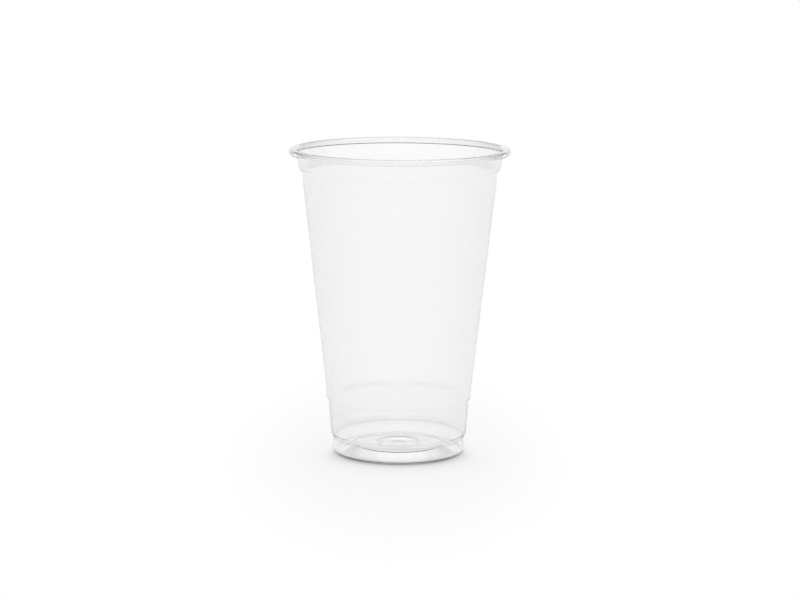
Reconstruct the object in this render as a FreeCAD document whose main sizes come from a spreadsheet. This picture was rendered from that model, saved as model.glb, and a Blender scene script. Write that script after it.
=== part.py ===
"""A clear disposable cold-drink cup, thermoformed from one sheet of plastic.

The cup is one thin-walled solid of revolution about Z, standing on Z = 0, in millimetres.
From the table up it has a flat contact ring with a rounded heel, a plain foot band, a stacking
ledge that takes the heel of the next cup, a slightly tapered waist, a step to a short band, the
long tapered body, a neck band, a flare to the collar, and a lip that is rolled outwards, over and
under into a hollow bead. The floor is pushed up inside the contact ring and has a shallow round
dimple in it. The sheet is thicker in the base and in the lip, where it is drawn least, than in the
side wall. The bends are drawn sharp, and the round of the lip and of the heel in short stretches.
"""
import FreeCAD, Part
import os

import Sketcher

# Name, value in millimetres (one is in degrees) and what it measures.
DIMENSIONS = (
    ("rim_diameter", 98.0, "over the rolled lip"),
    ("cup_height", 136.0, "table to the top of the lip"),
    ("lip_overhang", 3.7, "outside of the lip to the outside of the collar's top"),
    ("lip_height", 3.2, "top to bottom of the rolled lip"),
    ("lip_end_angle", 90.0, "how far below level the cut edge of the lip lies, in degrees"),
    ("collar_height", 5.5, "collar, up to the underside of the lip"),
    ("collar_draft", 0.8, "how much the collar opens upwards"),
    ("flare_width", 1.6, "how far the collar stands out from the neck"),
    ("flare_height", 2.7, "rise of the flare between neck and collar"),
    ("neck_band_height", 2.4, "near-upright band over the long taper"),
    ("hip_band_height", 3.0, "near-upright band under the long taper"),
    ("band_draft", 0.05, "how much each near-upright band opens upwards"),
    ("step_width", 1.1, "radial width of the step above the waist"),
    ("step_rise", 2.5, "rise of the step above the waist"),
    ("waist_height", 13.8, "rise of the waist above the ledge"),
    ("waist_draft", 1.0, "how much the waist opens upwards"),
    ("ledge_width", 1.05, "radial width of the stacking ledge"),
    ("ledge_rise", 2.1, "rise of the stacking ledge"),
    ("foot_height", 6.5, "table to the lower edge of the stacking ledge"),
    ("foot_diameter", 58.2, "outside of the foot band"),
    ("heel_radius", 1.3, "outside radius of the heel"),
    ("foot_ring_width", 4.6, "outside of the foot band to the inner edge of the contact ring"),
    ("panel_diameter", 38.8, "pushed-up floor panel"),
    ("panel_height", 2.9, "table to the underside of the floor panel"),
    ("dimple_diameter", 19.0, "dimple in the middle of the floor panel"),
    ("dimple_depth", 1.0, "dimple below the panel"),
    ("dimple_draft", 0.8, "how much the dimple narrows downwards"),
    ("base_gauge", 0.45, "sheet thickness in the floor and the foot"),
    ("wall_gauge", 0.30, "sheet thickness in the side wall"),
    ("rim_gauge", 0.42, "sheet thickness in the collar and the lip"),
)

FOOT_RADIUS = "dims.foot_diameter / 2"
PANEL_RADIUS = "dims.panel_diameter / 2"
DIMPLE_RADIUS = "dims.dimple_diameter / 2"
DIMPLE_HEIGHT = "dims.panel_height - dims.dimple_depth"
LEDGE_RADIUS = FOOT_RADIUS + " + dims.band_draft + dims.ledge_width"
LEDGE_TOP = "dims.foot_height + dims.ledge_rise"
WAIST_TOP = LEDGE_TOP + " + dims.waist_height"
HIP_RADIUS = LEDGE_RADIUS + " + dims.waist_draft + dims.step_width"
HIP_BOTTOM = WAIST_TOP + " + dims.step_rise"
LIP_ROOT_RADIUS = "dims.rim_diameter / 2 - dims.lip_overhang"
LIP_ROOT_HEIGHT = "dims.cup_height - dims.lip_height"
COLLAR_RADIUS = LIP_ROOT_RADIUS + " - dims.collar_draft"
COLLAR_BOTTOM = LIP_ROOT_HEIGHT + " - dims.collar_height"
NECK_RADIUS = COLLAR_RADIUS + " - dims.flare_width"
NECK_TOP = COLLAR_BOTTOM + " - dims.flare_height"

# The lip is an oval roll about its own centre. It starts at its innermost point, upright, and the
# inner skin of the sheet becomes the outside of the roll.
LIP_STRETCHES = 9
LIP_CENTRE_RADIUS = "(dims.rim_diameter - dims.lip_overhang - dims.rim_gauge) / 2"
LIP_CENTRE_HEIGHT = "dims.cup_height - dims.lip_height / 2"
LIP_HALF_WIDTH = "(dims.lip_overhang + dims.rim_gauge) / 2"
LIP_HALF_HEIGHT = "dims.lip_height / 2"

HEEL_CUT = "dims.heel_radius * (1 - cos(45 deg))"

# Corners of the outer skin from the middle of the underside up to the foot of the lip:
# name, radius, height, and the gauge of the sheet from there to the next corner.
CORNERS = (
    ("middle", "0", DIMPLE_HEIGHT, "base_gauge"),
    ("dimple_floor", DIMPLE_RADIUS + " - dims.dimple_draft", DIMPLE_HEIGHT, "base_gauge"),
    ("dimple_edge", DIMPLE_RADIUS, "dims.panel_height", "base_gauge"),
    ("panel_edge", PANEL_RADIUS, "dims.panel_height", "base_gauge"),
    ("ring_inner", FOOT_RADIUS + " - dims.foot_ring_width", "0", "base_gauge"),
    ("ring_outer", FOOT_RADIUS + " - dims.heel_radius", "0", "base_gauge"),
    ("heel_middle", FOOT_RADIUS + " - " + HEEL_CUT, HEEL_CUT, "base_gauge"),
    ("heel_top", FOOT_RADIUS, "dims.heel_radius", "base_gauge"),
    ("foot_top", FOOT_RADIUS + " + dims.band_draft", "dims.foot_height", "base_gauge"),
    ("ledge_top", LEDGE_RADIUS, LEDGE_TOP, "wall_gauge"),
    ("waist_top", LEDGE_RADIUS + " + dims.waist_draft", WAIST_TOP, "wall_gauge"),
    ("hip_bottom", HIP_RADIUS, HIP_BOTTOM, "wall_gauge"),
    ("hip_top", HIP_RADIUS + " + dims.band_draft", HIP_BOTTOM + " + dims.hip_band_height", "wall_gauge"),
    ("neck_bottom", NECK_RADIUS + " - dims.band_draft", NECK_TOP + " - dims.neck_band_height",
     "wall_gauge"),
    ("neck_top", NECK_RADIUS, NECK_TOP, "rim_gauge"),
    ("collar_bottom", COLLAR_RADIUS, COLLAR_BOTTOM, "rim_gauge"),
    ("lip_root", LIP_ROOT_RADIUS, LIP_ROOT_HEIGHT, "rim_gauge"),
)

ORIGIN_POINT = (-1, 1)
HORIZONTAL_AXIS = -1
VERTICAL_AXIS = -2
START, END = 1, 2
UPWARDS = FreeCAD.Vector(0, 0, 1)


def make_sheet(doc):
    """The driving dimensions, one to a row: name, value and what it measures."""
    sheet = doc.addObject("Spreadsheet::Sheet", "dims")
    for row, (name, value, meaning) in enumerate(DIMENSIONS, start=1):
        sheet.set(f"A{row}", name)
        sheet.set(f"B{row}", str(value))
        sheet.setAlias(f"B{row}", name)
        sheet.set(f"C{row}", meaning)
    doc.recompute()


def crossing(first, first_along, second, second_along):
    """Where two lines, each a point and a direction, meet."""
    turn = first_along.cross(second_along).z
    return first + first_along * ((second - first).cross(second_along).z / turn)


class Section:
    """The section of the sheet as one sketch: drawn in place, with every size then bound."""

    def __init__(self, body):
        self.sketch = body.newObject("Sketcher::SketchObject", "section")
        plane = next(item for item in body.Origin.OriginFeatures if item.Role == "XZ_Plane")
        self.sketch.AttachmentSupport = [(plane, "")]
        self.sketch.MapMode = "FlatFace"
        self.rules = []

    def value(self, expression):
        return float(self.sketch.evalExpression(expression))

    def place(self, radius, height):
        return FreeCAD.Vector(self.value(radius), self.value(height), 0)

    def line(self, start, end):
        return self.sketch.addGeometry(Part.LineSegment(start, end), False)

    def rule(self, *parts):
        self.rules.append((Sketcher.Constraint(*parts), None, None))

    def size(self, name, expression, kind, *places):
        """A constraint with a name of its own, and its size bound to the expression."""
        constraint = Sketcher.Constraint(kind, *places, self.value(expression))
        self.rules.append((constraint, name, expression))

    def locate(self, name, geometry, spot, radius, height):
        """Holds a point at its radius and height. A zero puts it on the axis or on the table."""
        if radius == "0":
            self.rule("PointOnObject", geometry, spot, VERTICAL_AXIS)
        else:
            self.size(name + "_radius", radius, "DistanceX", *ORIGIN_POINT, geometry, spot)
        if height == "0":
            self.rule("PointOnObject", geometry, spot, HORIZONTAL_AXIS)
        else:
            self.size(name + "_height", height, "DistanceY", *ORIGIN_POINT, geometry, spot)

    def chain(self, places):
        """Lines from each place to the next, joined end to end."""
        lines = [self.line(start, end) for start, end in zip(places, places[1:])]
        for before, after in zip(lines, lines[1:]):
            self.rule("Coincident", before, END, after, START)
        return lines

    def apply(self):
        already = len(self.sketch.Constraints)
        self.sketch.addConstraint([constraint for constraint, _, _ in self.rules])
        for index, (_, name, expression) in enumerate(self.rules, start=already):
            if expression:
                self.sketch.renameConstraint(index, name)
                self.sketch.setExpression("Constraints." + name, expression)


def inner_places(section, outer):
    """The corners of the inner skin: each stretch of the outer skin, moved in by its gauge."""
    stretches = []
    for (_, _, _, gauge), start, end in zip(CORNERS, outer, outer[1:]):
        along = (end - start).normalize()
        shift = UPWARDS.cross(along) * section.value("dims." + gauge)
        stretches.append((start + shift, along, end + shift))
    places = [stretches[0][0]]
    for before, after in zip(stretches, stretches[1:]):
        places.append(crossing(before[0], before[1], after[0], after[1]))
    places.append(stretches[-1][2])
    return places


def lip_corners(inset):
    """The corners of one skin round the roll, that far inside the outside of the roll."""
    corners = []
    for step in range(LIP_STRETCHES + 1):
        angle = f"(180 - (180 + dims.lip_end_angle) * {step} / {LIP_STRETCHES}) * 1 deg"
        radius = f"{LIP_CENTRE_RADIUS} + ({LIP_HALF_WIDTH} - {inset}) * cos({angle})"
        height = f"{LIP_CENTRE_HEIGHT} + ({LIP_HALF_HEIGHT} - {inset}) * sin({angle})"
        corners.append((radius, height))
    return corners


def draw_section(section):
    """Both skins and the two edges that join them: one on the axis and the cut edge of the lip."""
    lip_outside = lip_corners("0")
    lip_inside = lip_corners("dims.rim_gauge")
    outer = [section.place(radius, height) for _, radius, height, _ in CORNERS]
    outer.append(section.place(*lip_inside[0]))
    inner = inner_places(section, outer)
    outer += [section.place(*corner) for corner in lip_inside[1:]]
    inner += [section.place(*corner) for corner in lip_outside[1:]]
    outer_lines = section.chain(outer)
    inner_lines = section.chain(inner)
    for index, (name, radius, height, gauge) in enumerate(CORNERS):
        section.locate(name, outer_lines[index], START, radius, height)
        section.rule("Parallel", outer_lines[index], inner_lines[index])
        if index + 1 < len(CORNERS):
            places = (outer_lines[index], START, inner_lines[index])
            section.size(name + "_gauge", "dims." + gauge, "Distance", *places)
    for step in range(LIP_STRETCHES + 1):
        index = len(CORNERS) - 1 + step
        section.locate(f"lip_inside_{step}", outer_lines[index], END, *lip_inside[step])
        section.locate(f"lip_outside_{step}", inner_lines[index], END, *lip_outside[step])
    axis_edge = section.line(inner[0], outer[0])
    section.rule("PointOnObject", inner_lines[0], START, VERTICAL_AXIS)
    section.rule("Coincident", axis_edge, START, inner_lines[0], START)
    section.rule("Coincident", axis_edge, END, outer_lines[0], START)
    cut_edge = section.line(outer[-1], inner[-1])
    section.rule("Coincident", cut_edge, START, outer_lines[-1], END)
    section.rule("Coincident", cut_edge, END, inner_lines[-1], END)


def make_cup(doc):
    body = doc.addObject("PartDesign::Body", "cup")
    body.Label = "cup"
    section = Section(body)
    draw_section(section)
    section.apply()
    doc.recompute()
    turned = body.newObject("PartDesign::Revolution", "turned_sheet")
    turned.Profile = section.sketch
    turned.ReferenceAxis = (section.sketch, ["V_Axis"])
    turned.Angle = 360
    body.Placement = FreeCAD.Placement(FreeCAD.Vector(0, 0, 0), FreeCAD.Rotation())
    doc.recompute()
    return body, section.sketch


def check(doc, body, sketch):
    """Stops the build when a size has broken the section or the solid."""
    for item in doc.Objects:
        if "Invalid" in item.State or "Error" in item.State:
            raise ValueError(f"{item.Name} did not recompute: {item.State}")
    if sketch.solve() != 0 or not sketch.FullyConstrained:
        raise ValueError("the section is not fully held by its sizes")
    shape = body.Shape
    if shape.isNull() or not shape.isValid() or len(shape.Solids) != 1:
        raise ValueError("the cup is not one valid solid")


def main():
    doc = FreeCAD.newDocument("cup")
    make_sheet(doc)
    body, sketch = make_cup(doc)
    check(doc, body, sketch)
    os.makedirs("parts", exist_ok=True)
    body.Shape.exportStep("parts/cup.step")
    box = body.Shape.optimalBoundingBox(False)
    print(f"cup: {box.XLength:.3f} x {box.YLength:.3f} x {box.ZLength:.3f} mm from Z {box.ZMin:.4f}")
    print(f"material {body.Shape.Volume / 1000:.3f} cm3, {len(body.Shape.Faces)} faces")


main()
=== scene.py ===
"""The clear disposable cold-drink cup: the finish of its thin plastic sheet, and the set it stands on.

Lengths are in metres unless a comment says otherwise. The cup is round about Z and stands on Z = 0.
"""

import math

import bmesh
import bpy
from mathutils import Matrix, Vector


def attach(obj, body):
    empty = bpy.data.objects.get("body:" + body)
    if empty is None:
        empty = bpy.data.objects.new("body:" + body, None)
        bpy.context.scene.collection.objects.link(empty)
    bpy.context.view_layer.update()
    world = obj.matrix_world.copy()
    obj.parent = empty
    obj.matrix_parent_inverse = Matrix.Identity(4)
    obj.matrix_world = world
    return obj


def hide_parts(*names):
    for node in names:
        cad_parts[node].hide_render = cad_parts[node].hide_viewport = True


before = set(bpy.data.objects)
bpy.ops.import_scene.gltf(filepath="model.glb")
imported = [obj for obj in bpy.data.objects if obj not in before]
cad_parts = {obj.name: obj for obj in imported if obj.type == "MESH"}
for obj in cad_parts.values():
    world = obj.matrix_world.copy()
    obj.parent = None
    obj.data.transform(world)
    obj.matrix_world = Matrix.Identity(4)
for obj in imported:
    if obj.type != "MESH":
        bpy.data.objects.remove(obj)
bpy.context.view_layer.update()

bpy.context.scene.view_settings.view_transform = "Standard"

MM = 0.001

# Lip: an oval roll that the sheet runs up into. It is kept a hair inside the box of the CAD cup.
RIM_RADIUS = 48.95 * MM
CUP_HEIGHT = 135.98 * MM
LIP_WIDTH = 4.07 * MM
LIP_HEIGHT = 3.2 * MM
LIP_END = math.radians(-90)
LIP_SEGMENTS = 40
ANGLE_MARGIN = math.radians(1)

# Bends of the sheet's outer skin, from the middle of the underside up to the lip:
# radius, height and bend radius, in millimetres
BENDS = (
    (3.2, 1.9, 3.0),      # low ring in the dimple: inner foot
    (4.4, 1.95, 3.0),     # inner side of its crown
    (4.7, 1.95, 3.0),     # outer side of its crown
    (5.9, 1.9, 3.0),      # outer foot
    (8.2, 1.9, 2.5),      # dimple, bottom edge
    (10.1, 2.9, 2.5),     # dimple, top edge
    (19.4, 2.9, 0.7),     # edge of the pushed-up floor
    (24.5, 0.0, 0.9),     # contact ring, inner edge
    (29.1, 0.0, 1.3),     # heel
    (29.15, 6.5, 0.5),    # foot band, top: the stacking ledge starts
    (30.2, 8.6, 0.5),     # ledge, top: the waist starts
    (31.2, 22.4, 0.8),    # waist, top
    (32.3, 24.9, 0.8),    # short band, bottom
    (32.35, 27.9, 2.0),   # short band, top: the long taper starts
    (42.85, 122.2, 2.0),  # long taper, top: the neck band starts
    (42.9, 124.6, 0.4),   # neck band, top: the flare starts
    (44.5, 127.3, 0.5),   # collar, bottom
    (45.3, 132.8, 3.0),   # collar, top, where the sheet turns into the lip
)
ARC_STEP = math.radians(8)
FEWEST_ARC_STEPS = 2
STRAIGHT_STEP = 3.0 * MM
TURN_STEPS = 224
JOIN_DISTANCE = 0.002 * MM

# Thickness of the sheet: height up the cup and gauge, both in millimetres. In the outer CURL_SHARE of
# the lip's width, its lower half thins from the rim's gauge to CUT_EDGE_SHARE of it.
GAUGES = ((6.5, 0.45), (22.4, 0.30), (122.2, 0.30), (127.3, 0.42))
THICKEST = GAUGES[0][1] * MM
RIM_GAUGE = GAUGES[-1][1] * MM
CUT_EDGE_SHARE = 0.3
CURL_SHARE = 0.75
OUTER_SKIN_STAYS = 1.0

# Plastic
ROUGHNESS = 0.02
REFRACTION = 1.46
ABSORPTION_TONE = 0.5
ABSORPTION_DENSITY = 12.0

# The wall greys as it turns away from the eye: how far it is turned, from 0 to 1, and its tone.
# Below FLOOR_TOP the sheet has one tone at every angle, and from WALL_START up it has the wall's.
WALL_TONES = ((0.0, 0.966), (0.33, 0.934), (0.55, 0.905), (0.8, 0.87), (1.0, 0.78))
EVEN_FACING = 0.5
FLOOR_TONE = 0.992
FLOOR_TOP = 3.5 * MM
WALL_START = 6.0 * MM

# Painted shade along the two creases of the stacking ledge, which are a little greyer:
# height and half-width in millimetres, and tone
CREASE_SHADES = (
    (6.8, 0.7, 0.84),
    (8.6, 0.5, 0.96),
)

# Faint unevenness of the formed sheet, drawn out upwards
WAVE_SCALE = 60.0
WAVE_DETAIL = 1.0
WAVE_STRETCH = (1.0, 1.0, 0.25)
WAVE_STRENGTH = 0.01
WAVE_DEPTH = 0.2 * MM

# Painted contact shadow: light that the cup lets through to the table, set by place to be least at the heel,
# and only in front.
# Inwards from the heel it recovers faster than upwards, by INWARD_RATE.
SHADE_RADIUS = 28.9 * MM
INWARD_RATE = 6.0
SHADE_BOTTOM = 3.0 * MM
SHADE_TOP = 11.0 * MM
LEAST_LIGHT = 0.1
MOST_LIGHT = 0.99
SHADE_FRONT_Y = -20.0 * MM
SHADE_BACK_LIFT = 7.0 * MM

# Table, which fades into white round the cup: the grey oval near the cup is a painted soft shadow, longer
# front to back than it is wide
TABLE_RADIUS = 20.0
TABLE_SIDES = 96
TABLE_TONE = 0.9
FADE_SHAPE = (1.0, 0.42, 1.0)
FADE_START = 35.0 * MM
FADE_END = 85.0 * MM

# Room as the cup sees it: how far a direction rises, from 0 level to 1 straight up, and its tone.
# The grey band is weaker in front and behind, and full beyond SIDE_START, measured across on X.
ROOM_TONES = ((0.2, 1.0), (0.34, 0.2), (0.54, 0.2), (0.7, 1.0), (0.86, 1.0), (1.0, 0.55))
BAND_IN_FRONT = 0.48
SIDE_START = 0.5
ROOM_LIGHT = 0.85

# Soft lamp overhead, with its power in watts
LAMP_PLACE = (0.1, 0.2, 1.6)
LAMP_WIDTH = 1.6
LAMP_POWER = 7.0

# Camera, with its focal length and picture width in pixels and its sensor in millimetres
EYE = (0.00036, -1.042, 0.2501)
LOOK_DOWN = math.radians(9.91)
EYE_ROLL = math.radians(0.27)
FOCAL_PIXELS = 2380.0
PICTURE_WIDTH = 800.0
SENSOR_WIDTH = 36.0

# Sockets of a Mix node that is set to colours
MIX_FACTOR = 0
MIX_A = 6
MIX_B = 7
MIX_RESULT = 2


# Shape of the cup

def round_bend(bm, corner, radius):
    """Turn one sharp corner of the outline into an arc."""
    before, after = [edge.other_vert(corner).co - corner.co for edge in corner.link_edges]
    turn = math.pi - before.angle(after)
    bmesh.ops.bevel(bm, geom=[corner], offset=radius * math.tan(turn / 2), offset_type="OFFSET",
                    segments=max(FEWEST_ARC_STEPS, math.ceil(turn / ARC_STEP)), profile=0.5,
                    affect="VERTICES", material=-1, clamp_overlap=False)


def lip_outline(bm):
    """The roll's inner side, from the wall up, over and down to its cut edge; gives the end at the wall."""
    across = LIP_WIDTH / 2 - RIM_GAUGE
    up = LIP_HEIGHT / 2 - RIM_GAUGE
    centre = Vector((RIM_RADIUS - LIP_WIDTH / 2, 0, CUP_HEIGHT - LIP_HEIGHT / 2))
    upright = Matrix.Rotation(math.radians(90), 4, "X")
    place = Matrix.Translation(centre) @ upright @ Matrix.Diagonal((across, up, 1, 1))
    ring = bmesh.ops.create_circle(bm, segments=LIP_SEGMENTS, radius=1, matrix=place)["verts"]

    def angle(vert):
        return math.atan2((vert.co.z - centre.z) / up, (vert.co.x - centre.x) / across)

    gap = [vert for vert in ring if ANGLE_MARGIN - math.pi < angle(vert) < LIP_END - ANGLE_MARGIN]
    bmesh.ops.delete(bm, geom=gap, context="VERTS")
    return min((vert for vert in ring if vert.is_valid), key=lambda vert: vert.co.x)


def sheet_outline(bm):
    """One side of the cup's section, as a chain of edges with its bends rounded and its straights divided."""
    floor_middle = (0, 0, BENDS[0][1] * MM)
    chain = [bm.verts.new(floor_middle)]
    chain += [bm.verts.new((radius * MM, 0, height * MM)) for radius, height, bend in BENDS]
    chain.append(lip_outline(bm))
    for pair in zip(chain, chain[1:]):
        bm.edges.new(pair)
    for corner, (radius, height, bend) in zip(chain[1:], BENDS):
        round_bend(bm, corner, bend * MM)
    for edge in list(bm.edges):
        cuts = math.ceil(edge.calc_length() / STRAIGHT_STEP) - 1
        if cuts > 0:
            bmesh.ops.subdivide_edges(bm, edges=[edge], cuts=cuts)


def gauge_at(place):
    """The sheet's thickness at a place. The lip thins towards its cut edge."""
    height = place.z
    above_lip_bottom = height - CUP_HEIGHT + LIP_HEIGHT
    half_lip = LIP_HEIGHT / 2
    if place.xy.length > RIM_RADIUS - LIP_WIDTH * CURL_SHARE and above_lip_bottom < half_lip:
        return RIM_GAUGE * (CUT_EDGE_SHARE + (1 - CUT_EDGE_SHARE) * above_lip_bottom / half_lip)
    heights = [level * MM for level, gauge in GAUGES]
    gauges = [gauge * MM for level, gauge in GAUGES]
    if height <= heights[0]:
        return gauges[0]
    for low, high, lower, upper in zip(heights, heights[1:], gauges, gauges[1:]):
        if height <= high:
            return lower + (upper - lower) * (height - low) / (high - low)
    return gauges[-1]


def turned_cup():
    """The outline turned once round the axis, and given its thickness."""
    bm = bmesh.new()
    sheet_outline(bm)
    bmesh.ops.spin(bm, geom=bm.verts[:] + bm.edges[:], axis=(0, 0, 1), cent=(0, 0, 0),
                   angle=2 * math.pi, steps=TURN_STEPS, use_merge=True)
    bmesh.ops.remove_doubles(bm, verts=bm.verts, dist=JOIN_DISTANCE)
    bmesh.ops.recalc_face_normals(bm, faces=bm.faces)
    for face in bm.faces:
        face.smooth = True
    mesh = bpy.data.meshes.new("clear_cup")
    bm.to_mesh(mesh)
    bm.free()
    cup = bpy.data.objects.new("clear_cup", mesh)
    bpy.context.scene.collection.objects.link(cup)

    gauge = cup.vertex_groups.new(name="gauge")
    for vert in mesh.vertices:
        gauge.add([vert.index], gauge_at(vert.co) / THICKEST, "REPLACE")
    wall = cup.modifiers.new("sheet thickness", "SOLIDIFY")
    wall.thickness = THICKEST
    wall.offset = OUTER_SKIN_STAYS
    wall.use_even_offset = True
    wall.vertex_group = gauge.name
    return cup


# Nodes that the finishes are made of

def grey(tone):
    """An opaque grey as a colour."""
    return (tone, tone, tone, 1)


def grey_ramp(nodes, stops, interpolation="LINEAR"):
    """A ramp of greys, from pairs of position and tone in rising order."""
    ramp = nodes.new("ShaderNodeValToRGB")
    ramp.color_ramp.interpolation = interpolation
    elements = ramp.color_ramp.elements
    elements.remove(elements[1])
    for index, (position, tone) in enumerate(stops):
        stop = elements.new(position) if index else elements[0]
        stop.position = position
        stop.color = grey(tone)
    return ramp


def math_node(nodes, operation):
    """A Math node that does one operation."""
    made = nodes.new("ShaderNodeMath")
    made.operation = operation
    return made


def vector_node(nodes, operation):
    """A Vector Math node that does one operation."""
    made = nodes.new("ShaderNodeVectorMath")
    made.operation = operation
    return made


def map_range(nodes, start, end, low=0.0, high=1.0, interpolation="LINEAR"):
    """A Map Range node that turns start to end into low to high, and holds both beyond."""
    made = nodes.new("ShaderNodeMapRange")
    made.interpolation_type = interpolation
    made.inputs["From Min"].default_value = start
    made.inputs["From Max"].default_value = end
    made.inputs["To Min"].default_value = low
    made.inputs["To Max"].default_value = high
    return made


def mix_node(nodes, kind):
    """A Mix node for colours, as RGBA, or for plain numbers, as FLOAT."""
    made = nodes.new("ShaderNodeMix")
    made.data_type = kind
    return made


def empty_tree(owner):
    """The nodes and links of a material or world, cleared to build on."""
    owner.use_nodes = True
    owner.node_tree.nodes.clear()
    return owner.node_tree.nodes, owner.node_tree.links


# Clear plastic

def sheet_tone(nodes, links, height):
    """The sheet's grey: by how it faces the eye on the wall, one tone on the floor, and painted shade that
    makes it darker at the creases.
    """
    facing = nodes.new("ShaderNodeLayerWeight")
    facing.inputs["Blend"].default_value = EVEN_FACING
    wall_tone = grey_ramp(nodes, WALL_TONES)
    links.new(facing.outputs["Facing"], wall_tone.inputs["Fac"])

    above_floor = map_range(nodes, FLOOR_TOP, WALL_START)
    place_tone = mix_node(nodes, "RGBA")
    place_tone.inputs[MIX_A].default_value = grey(FLOOR_TONE)
    links.new(height.outputs["Z"], above_floor.inputs["Value"])
    links.new(above_floor.outputs["Result"], place_tone.inputs[MIX_FACTOR])
    links.new(wall_tone.outputs["Color"], place_tone.inputs[MIX_B])

    # Painted shade: grey bands at the two creases of the stacking ledge
    stops = [(0.0, 1.0)]
    for crease, half_width, tone in CREASE_SHADES:
        for offset, level in ((-half_width, 1.0), (0.0, tone), (half_width, 1.0)):
            stops.append(((crease + offset) * MM / CUP_HEIGHT, level))
    crease_shade = grey_ramp(nodes, stops)
    share_of_height = math_node(nodes, "DIVIDE")
    share_of_height.inputs[1].default_value = CUP_HEIGHT
    links.new(height.outputs["Z"], share_of_height.inputs[0])
    links.new(share_of_height.outputs["Value"], crease_shade.inputs["Fac"])

    tone = mix_node(nodes, "RGBA")
    tone.blend_type = "MULTIPLY"
    tone.inputs[MIX_FACTOR].default_value = 1.0
    links.new(place_tone.outputs[MIX_RESULT], tone.inputs[MIX_A])
    links.new(crease_shade.outputs["Color"], tone.inputs[MIX_B])
    return tone.outputs[MIX_RESULT]


def faint_waves(nodes, links, coordinates):
    """The slight unevenness of the formed sheet, as a normal."""
    stretch = nodes.new("ShaderNodeMapping")
    stretch.inputs["Scale"].default_value = WAVE_STRETCH
    waves = nodes.new("ShaderNodeTexNoise")
    waves.inputs["Scale"].default_value = WAVE_SCALE
    waves.inputs["Detail"].default_value = WAVE_DETAIL
    bump = nodes.new("ShaderNodeBump")
    bump.inputs["Strength"].default_value = WAVE_STRENGTH
    bump.inputs["Distance"].default_value = WAVE_DEPTH
    links.new(coordinates.outputs["Object"], stretch.inputs["Vector"])
    links.new(stretch.outputs["Vector"], waves.inputs["Vector"])
    links.new(waves.outputs["Fac"], bump.inputs["Height"])
    return bump.outputs["Normal"]


def light_to_table(nodes, links, coordinates, height):
    """How much light the sheet lets through to the table, as a painted contact shadow: least at the heel in
    front, most elsewhere.
    """
    flat = vector_node(nodes, "MULTIPLY")
    flat.inputs[1].default_value = (1, 1, 0)
    radius = vector_node(nodes, "LENGTH")
    links.new(coordinates.outputs["Object"], flat.inputs[0])
    links.new(flat.outputs["Vector"], radius.inputs[0])

    inward = math_node(nodes, "SUBTRACT")
    inward.inputs[0].default_value = SHADE_RADIUS
    inward.use_clamp = True
    links.new(radius.outputs["Value"], inward.inputs[1])

    lift = map_range(nodes, 0.0, SHADE_FRONT_Y, SHADE_BACK_LIFT, 0.0)
    lifted = math_node(nodes, "ADD")
    links.new(height.outputs["Y"], lift.inputs["Value"])
    links.new(height.outputs["Z"], lifted.inputs[0])
    links.new(lift.outputs["Result"], lifted.inputs[1])

    away = math_node(nodes, "MULTIPLY_ADD")
    away.inputs[1].default_value = INWARD_RATE
    links.new(inward.outputs["Value"], away.inputs[0])
    links.new(lifted.outputs["Value"], away.inputs[2])

    # Painted contact shadow: the least light passes through the front of the heel
    light = map_range(nodes, SHADE_BOTTOM, SHADE_TOP, LEAST_LIGHT, MOST_LIGHT, "SMOOTHSTEP")
    links.new(away.outputs["Value"], light.inputs["Value"])
    return light.outputs["Result"]


def clear_plastic():
    """Clear formed sheet: glass-like to the eye, and with a painted contact shadow in its clearness to the
    table's light.
    """
    material = bpy.data.materials.new("clear_plastic")
    nodes, links = empty_tree(material)
    coordinates = nodes.new("ShaderNodeTexCoord")
    height = nodes.new("ShaderNodeSeparateXYZ")
    links.new(coordinates.outputs["Object"], height.inputs["Vector"])

    plastic = nodes.new("ShaderNodeBsdfPrincipled")
    plastic.inputs["Metallic"].default_value = 0.0
    plastic.inputs["Roughness"].default_value = ROUGHNESS
    plastic.inputs["IOR"].default_value = REFRACTION
    plastic.inputs["Transmission Weight"].default_value = 1.0
    links.new(sheet_tone(nodes, links, height), plastic.inputs["Base Color"])
    links.new(faint_waves(nodes, links, coordinates), plastic.inputs["Normal"])

    absorption = nodes.new("ShaderNodeVolumeAbsorption")
    absorption.inputs["Color"].default_value = grey(ABSORPTION_TONE)
    absorption.inputs["Density"].default_value = ABSORPTION_DENSITY

    # Painted contact shadow on the table: the sheet's clearness to shadow and diffuse rays is set by place
    light_through = nodes.new("ShaderNodeBsdfTransparent")
    links.new(light_to_table(nodes, links, coordinates, height), light_through.inputs["Color"])

    path = nodes.new("ShaderNodeLightPath")
    lights_table = math_node(nodes, "MAXIMUM")
    links.new(path.outputs["Is Shadow Ray"], lights_table.inputs[0])
    links.new(path.outputs["Is Diffuse Ray"], lights_table.inputs[1])
    surface = nodes.new("ShaderNodeMixShader")
    links.new(lights_table.outputs["Value"], surface.inputs["Fac"])
    links.new(plastic.outputs["BSDF"], surface.inputs[1])
    links.new(light_through.outputs["BSDF"], surface.inputs[2])

    output = nodes.new("ShaderNodeOutputMaterial")
    links.new(surface.outputs["Shader"], output.inputs["Surface"])
    links.new(absorption.outputs["Volume"], output.inputs["Volume"])
    return material


# Set

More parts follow.
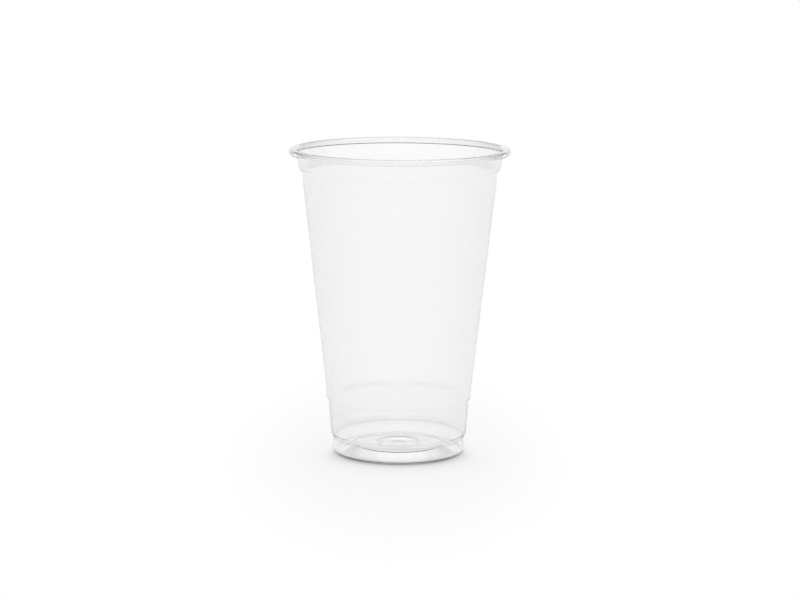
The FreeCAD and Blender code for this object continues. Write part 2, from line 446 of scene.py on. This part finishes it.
def table_material():
    """White table that fades into plain white away from the cup, so that no horizon shows; the grey oval left
    round the cup is a painted soft shadow.
    """
    material = bpy.data.materials.new("white_table")
    nodes, links = empty_tree(material)
    paint = nodes.new("ShaderNodeBsdfDiffuse")
    paint.inputs["Color"].default_value = grey(TABLE_TONE)
    glow = nodes.new("ShaderNodeEmission")
    glow.inputs["Color"].default_value = grey(1.0)

    coordinates = nodes.new("ShaderNodeTexCoord")
    oval = nodes.new("ShaderNodeMapping")
    oval.inputs["Scale"].default_value = FADE_SHAPE
    distance = vector_node(nodes, "LENGTH")
    # Painted soft shadow: the table stays lit grey inside this oval round the cup and glows white beyond it
    fade = map_range(nodes, FADE_START, FADE_END, interpolation="SMOOTHSTEP")
    links.new(coordinates.outputs["Object"], oval.inputs["Vector"])
    links.new(oval.outputs["Vector"], distance.inputs[0])
    links.new(distance.outputs["Value"], fade.inputs["Value"])

    surface = nodes.new("ShaderNodeMixShader")
    output = nodes.new("ShaderNodeOutputMaterial")
    links.new(fade.outputs["Result"], surface.inputs["Fac"])
    links.new(paint.outputs["BSDF"], surface.inputs[1])
    links.new(glow.outputs["Emission"], surface.inputs[2])
    links.new(surface.outputs["Shader"], output.inputs["Surface"])
    return material


def table():
    """The round table top that the cup stands on."""
    bm = bmesh.new()
    bmesh.ops.create_circle(bm, cap_ends=True, segments=TABLE_SIDES, radius=TABLE_RADIUS)
    mesh = bpy.data.meshes.new("table")
    bm.to_mesh(mesh)
    bm.free()
    mesh.materials.append(table_material())
    top = bpy.data.objects.new("table", mesh)
    bpy.context.scene.collection.objects.link(top)


def white_world():
    """Plain white for the eye; for the cup, white with a soft grey band of room, darkest at its sides."""
    world = bpy.data.worlds.new("white_room")
    bpy.context.scene.world = world
    nodes, links = empty_tree(world)
    direction = nodes.new("ShaderNodeTexCoord")
    rise = nodes.new("ShaderNodeSeparateXYZ")
    tones = grey_ramp(nodes, ROOM_TONES, "EASE")
    links.new(direction.outputs["Generated"], rise.inputs["Vector"])
    links.new(rise.outputs["Z"], tones.inputs["Fac"])

    sideways = math_node(nodes, "ABSOLUTE")
    strength = map_range(nodes, 0.0, SIDE_START, BAND_IN_FRONT, 1.0, "SMOOTHSTEP")
    band = mix_node(nodes, "FLOAT")
    band.inputs["A"].default_value = 1.0
    links.new(rise.outputs["X"], sideways.inputs[0])
    links.new(sideways.outputs["Value"], strength.inputs["Value"])
    links.new(strength.outputs["Result"], band.inputs["Factor"])
    links.new(tones.outputs["Color"], band.inputs["B"])

    path = nodes.new("ShaderNodeLightPath")
    meets_cup = math_node(nodes, "MAXIMUM")
    room = mix_node(nodes, "FLOAT")
    room.inputs["A"].default_value = ROOM_LIGHT
    links.new(path.outputs["Is Glossy Ray"], meets_cup.inputs[0])
    links.new(path.outputs["Is Transmission Ray"], meets_cup.inputs[1])
    links.new(meets_cup.outputs["Value"], room.inputs["Factor"])
    links.new(band.outputs["Result"], room.inputs["B"])

    seen = math_node(nodes, "MAXIMUM")
    background = nodes.new("ShaderNodeBackground")
    background.inputs["Color"].default_value = grey(1.0)
    output = nodes.new("ShaderNodeOutputWorld")
    links.new(room.outputs["Result"], seen.inputs[0])
    links.new(path.outputs["Is Camera Ray"], seen.inputs[1])
    links.new(seen.outputs["Value"], background.inputs["Strength"])
    links.new(background.outputs["Background"], output.inputs["Surface"])


def top_softbox():
    """The soft round lamp above the cup, a little behind it and to its right, turned towards its foot."""
    data = bpy.data.lights.new("top_softbox", "AREA")
    data.shape = "DISK"
    data.size = LAMP_WIDTH
    data.energy = LAMP_POWER
    light = bpy.data.objects.new("top_softbox", data)
    light.location = LAMP_PLACE
    light.rotation_euler = (-Vector(LAMP_PLACE)).to_track_quat("-Z", "Y").to_euler()
    bpy.context.scene.collection.objects.link(light)


def camera():
    """The eye: a little over a metre in front, looking down on the cup by about ten degrees."""
    data = bpy.data.cameras.new("camera")
    data.sensor_width = SENSOR_WIDTH
    data.lens = FOCAL_PIXELS * SENSOR_WIDTH / PICTURE_WIDTH
    eye = bpy.data.objects.new("camera", data)
    level = math.radians(90)
    eye.matrix_world = (Matrix.Translation(EYE) @ Matrix.Rotation(level - LOOK_DOWN, 4, "X")
                        @ Matrix.Rotation(EYE_ROLL, 4, "Z"))
    bpy.context.scene.collection.objects.link(eye)
    bpy.context.scene.camera = eye


cup = turned_cup()
cup.data.materials.append(clear_plastic())
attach(cup, "root")
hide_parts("cup")

table()
white_world()
top_softbox()
camera()
